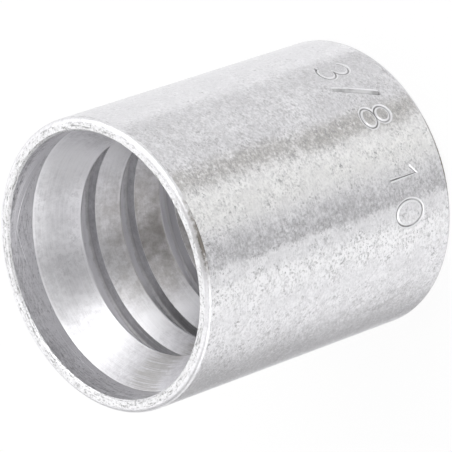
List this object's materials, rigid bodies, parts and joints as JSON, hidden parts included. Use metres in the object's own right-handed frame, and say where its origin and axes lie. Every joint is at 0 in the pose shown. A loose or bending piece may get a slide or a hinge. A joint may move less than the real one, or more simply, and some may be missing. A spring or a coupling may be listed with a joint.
{
  "type": "crimp hose ferrule",
  "caption": "Plain round steel sleeve with saw-tooth ribs in its bore and a locking collar at one end; pressed over a hydraulic hose end to clamp it on a fitting.",
  "frame": {"origin": "centre of the fitting end, on the surface that the ferrule stands on", "axes": "+Z along the sleeve's axis, from the fitting end up to the mouth that takes the hose; X and Y are equal, because the part is round"},
  "size_m": [0.025, 0.025, 0.0283],
  "materials": {
    "zinc_plated_steel": "bright zinc plating on a satin drawn wall, with turned cones and grooves in the bore"
  },
  "bodies": {
    "root": {"ferrule": "zinc_plated_steel"}
  },
  "joints": []
}
